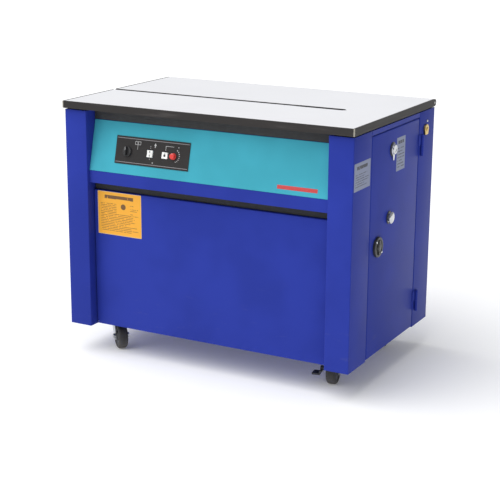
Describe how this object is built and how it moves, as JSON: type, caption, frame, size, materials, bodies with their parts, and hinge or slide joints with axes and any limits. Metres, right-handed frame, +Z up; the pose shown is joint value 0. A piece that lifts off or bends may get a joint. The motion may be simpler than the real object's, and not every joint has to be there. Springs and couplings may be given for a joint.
{
  "type": "strapping machine",
  "caption": "Table-height semi-automatic strapping machine: cabinet on casters, hinged slotted table, sloped control panel, sealing head, drive and strap reel.",
  "frame": {"origin": "centre of the whole machine's outline on the floor, under its casters", "axes": "+X to the operator's right along the strap slot, +Y to the rear, +Z up"},
  "size_m": [0.9054, 0.572, 0.74],
  "materials": {
    "blue_paint": "semi-gloss powder coat with a fine orange peel",
    "teal_paint": "satin powder coat",
    "white_laminate": "board faced with smooth white laminate",
    "charcoal_edge": "matt extruded edge strip",
    "black_plastic": "satin moulded",
    "ivory_plastic": "smooth moulded",
    "red_plastic": "smooth moulded",
    "rubber": "matt",
    "steel": "bright zinc plate and ground steel",
    "chrome": "polished plating",
    "yellow_zinc": "yellow passivated zinc plate",
    "cast_grey": "painted casting",
    "strap": "wound polypropylene strap"
  },
  "bodies": {
    "cabinet": {"base_frame": "blue_paint", "front_left_post": "blue_paint", "front_right_post": "blue_paint", "rear_left_post": "blue_paint", "rear_right_post": "blue_paint", "left_panel": "blue_paint", "rear_panel": "blue_paint", "right_top_rail": "blue_paint", "mains_gland": "black_plastic", "control_box": "blue_paint", "control_fascia": "teal_paint", "control_plate": "black_plastic", "finger_strip": "rubber", "side_hinge_lower": "blue_paint", "side_hinge_upper": "blue_paint", "hinge_bracket_left": "steel", "hinge_bracket_right": "steel", "mechanism_frame": "steel", "gearbox": "cast_grey", "motor": "cast_grey", "drive_belt": "rubber", "strap_channel": "steel", "reel_stand": "blue_paint", "electrics_box": "cast_grey"},
    "table": {"table_top": "white_laminate", "table_edge": "charcoal_edge"},
    "front_door": {"front_door": "blue_paint"},
    "side_door": {"side_door": "blue_paint", "side_door_knob": "chrome"},
    "side_door_latch": {"side_door_latch": "black_plastic"},
    "tension_knob": {"tension_knob": "chrome"},
    "table_latch": {"table_latch": "yellow_zinc"},
    "power_switch": {"power_switch": "black_plastic"},
    "feed_rocker": {"feed_rocker": "ivory_plastic"},
    "reset_button": {"reset_button": "ivory_plastic"},
    "length_dial": {"length_dial": "red_plastic"},
    "camshaft": {"camshaft": "steel"},
    "slide_table": {"slide_table": "steel"},
    "left_gripper": {"left_gripper": "steel"},
    "press_head": {"press_head": "steel"},
    "right_gripper": {"right_gripper": "steel"},
    "heater_arm": {"heater_arm": "steel"},
    "motor_pulley": {"motor_pulley": "steel"},
    "gearbox_pulley": {"gearbox_pulley": "steel"},
    "feed_roller": {"feed_roller": "rubber"},
    "pinch_roller": {"pinch_roller": "rubber"},
    "reel": {"reel_hub": "blue_paint", "reel_front_flange": "blue_paint", "strap_coil": "strap"},
    "reel_brake_arm": {"reel_brake_arm": "steel"},
    "front_left_fork": {"front_left_fork": "steel"},
    "front_left_wheel": {"front_left_wheel": "rubber"},
    "front_right_fork": {"front_right_fork": "steel"},
    "front_right_wheel": {"front_right_wheel": "rubber"},
    "front_right_brake_pedal": {"front_right_brake_pedal": "black_plastic"},
    "rear_left_fork": {"rear_left_fork": "steel"},
    "rear_left_wheel": {"rear_left_wheel": "rubber"},
    "rear_left_brake_pedal": {"rear_left_brake_pedal": "black_plastic"},
    "rear_right_fork": {"rear_right_fork": "steel"},
    "rear_right_wheel": {"rear_right_wheel": "rubber"}
  },
  "joints": [
    {"name": "table_hinge", "type": "hinge", "parent": "cabinet", "child": "table", "pos_m": [-0.00525, 0.276, 0.73], "axis": [-1, 0, 0], "range_deg": [0, 80]},
    {"name": "front_door_hinge", "type": "hinge", "parent": "cabinet", "child": "front_door", "pos_m": [-0.00525, -0.2443, 0.093], "axis": [1, 0, 0], "range_deg": [0, 85]},
    {"name": "side_door_hinge", "type": "hinge", "parent": "cabinet", "child": "side_door", "pos_m": [0.44425, 0.1835, 0.39], "axis": [0, 0, 1], "range_deg": [0, 110]},
    {"name": "side_door_latch_turn", "type": "hinge", "parent": "side_door", "child": "side_door_latch", "pos_m": [0.43925, -0.112, 0.394], "axis": [1, 0, 0], "range_deg": [0, 90]},
    {"name": "tension_knob_turn", "type": "hinge", "parent": "side_door", "child": "tension_knob", "pos_m": [0.43925, -0.0236, 0.645], "axis": [1, 0, 0], "range_deg": [-135, 135]},
    {"name": "table_latch_turn", "type": "hinge", "parent": "cabinet", "child": "table_latch", "pos_m": [0.43925, 0.2134, 0.6635], "axis": [1, 0, 0], "range_deg": [0, 90]},
    {"name": "power_switch_turn", "type": "hinge", "parent": "cabinet", "child": "power_switch", "pos_m": [-0.25775, -0.25469, 0.60951], "axis": [0, 0.9717, -0.2364], "range_deg": [0, 90]},
    {"name": "feed_rocker_tilt", "type": "hinge", "parent": "cabinet", "child": "feed_rocker", "pos_m": [-0.18425, -0.24935, 0.60821], "axis": [1, 0, 0], "range_deg": [-8, 8], "stiffness_Nm_per_rad": 0.3},
    {"name": "reset_button_press", "type": "slide", "parent": "cabinet", "child": "reset_button", "axis": [0, 0.9717, -0.2364], "range_m": [0, 0.003], "stiffness_N_per_m": 300},
    {"name": "length_dial_turn", "type": "hinge", "parent": "cabinet", "child": "length_dial", "pos_m": [-0.10825, -0.25469, 0.60951], "axis": [0, -0.9717, 0.2364], "range_deg": [-140, 140]},
    {"name": "camshaft_turn", "type": "hinge", "parent": "cabinet", "child": "camshaft", "pos_m": [0.12475, -0.028, 0.615], "axis": [1, 0, 0], "continuous": true},
    {"name": "slide_table_travel", "type": "slide", "parent": "cabinet", "child": "slide_table", "axis": [0, 1, 0], "range_m": [0, 0.03]},
    {"name": "left_gripper_lift", "type": "slide", "parent": "cabinet", "child": "left_gripper", "axis": [0, 0, 1], "range_m": [0, 0.0045]},
    {"name": "press_head_lift", "type": "slide", "parent": "cabinet", "child": "press_head", "axis": [0, 0, 1], "range_m": [0, 0.0045]},
    {"name": "right_gripper_lift", "type": "slide", "parent": "cabinet", "child": "right_gripper", "axis": [0, 0, 1], "range_m": [0, 0.0045]},
    {"name": "heater_arm_swing", "type": "hinge", "parent": "cabinet", "child": "heater_arm", "pos_m": [0.14475, 0.055, 0.7095], "axis": [0, 0, -1], "range_deg": [0, 25]},
    {"name": "gearbox_pulley_turn", "type": "hinge", "parent": "cabinet", "child": "gearbox_pulley", "pos_m": [0.08075, 0.043, 0.625], "axis": [0, 1, 0], "continuous": true},
    {"name": "motor_pulley_turn", "type": "hinge", "parent": "cabinet", "child": "motor_pulley", "pos_m": [-0.09525, 0.043, 0.6073], "axis": [0, 1, 0], "continuous": true},
    {"name": "feed_roller_turn", "type": "hinge", "parent": "cabinet", "child": "feed_roller", "pos_m": [0.36675, -0.008, 0.6], "axis": [0, 1, 0], "continuous": true},
    {"name": "pinch_roller_turn", "type": "hinge", "parent": "cabinet", "child": "pinch_roller", "pos_m": [0.36675, -0.008, 0.6475], "axis": [0, 1, 0], "continuous": true},
    {"name": "reel_turn", "type": "hinge", "parent": "cabinet", "child": "reel", "pos_m": [-0.12525, -0.127, 0.302], "axis": [0, 1, 0], "continuous": true},
    {"name": "reel_brake_swing", "type": "hinge", "parent": "cabinet", "child": "reel_brake_arm", "pos_m": [0.11045, -0.048, 0.3053], "axis": [0, -1, 0], "range_deg": [0, 20]},
    {"name": "front_left_swivel", "type": "hinge", "parent": "cabinet", "child": "front_left_fork", "pos_m": [-0.35325, -0.1753, 0.0955], "axis": [0, 0, 1], "continuous": true},
    {"name": "front_left_roll", "type": "hinge", "parent": "front_left_fork", "child": "front_left_wheel", "pos_m": [-0.33467, -0.19203, 0.0375], "axis": [-0.6691, -0.7431, 0], "continuous": true},
    {"name": "front_right_swivel", "type": "hinge", "parent": "cabinet", "child": "front_right_fork", "pos_m": [0.34275, -0.1753, 0.0955], "axis": [0, 0, 1], "continuous": true},
    {"name": "front_right_roll", "type": "hinge", "parent": "front_right_fork", "child": "front_right_wheel", "pos_m": [0.33841, -0.15068, 0.0375], "axis": [0.9848, 0.1736, 0], "continuous": true},
    {"name": "front_right_brake_press", "type": "hinge", "parent": "front_right_fork", "child": "front_right_brake_pedal", "pos_m": [0.34067, -0.16348, 0.046], "axis": [0.9848, 0.1736, 0], "range_deg": [0, 15]},
    {"name": "rear_left_swivel", "type": "hinge", "parent": "cabinet", "child": "rear_left_fork", "pos_m": [-0.35325, 0.1799, 0.0955], "axis": [0, 0, 1], "continuous": true},
    {"name": "rear_left_roll", "type": "hinge", "parent": "rear_left_fork", "child": "rear_left_wheel", "pos_m": [-0.35325, 0.2049, 0.0375], "axis": [1, 0, 0], "continuous": true},
    {"name": "rear_left_brake_press", "type": "hinge", "parent": "rear_left_fork", "child": "rear_left_brake_pedal", "pos_m": [-0.35325, 0.1919, 0.046], "axis": [1, 0, 0], "range_deg": [0, 15]},
    {"name": "rear_right_swivel", "type": "hinge", "parent": "cabinet", "child": "rear_right_fork", "pos_m": [0.34275, 0.1799, 0.0955], "axis": [0, 0, 1], "continuous": true},
    {"name": "rear_right_roll", "type": "hinge", "parent": "rear_right_fork", "child": "rear_right_wheel", "pos_m": [0.33503, 0.20368, 0.0375], "axis": [0.9511, 0.309, 0], "continuous": true}
  ],
  "couplings": [
    {"joint": "motor_pulley_turn", "follows": "gearbox_pulley_turn", "ratio": 2.15},
    {"joint": "pinch_roller_turn", "follows": "feed_roller_turn", "ratio": -1}
  ]
}
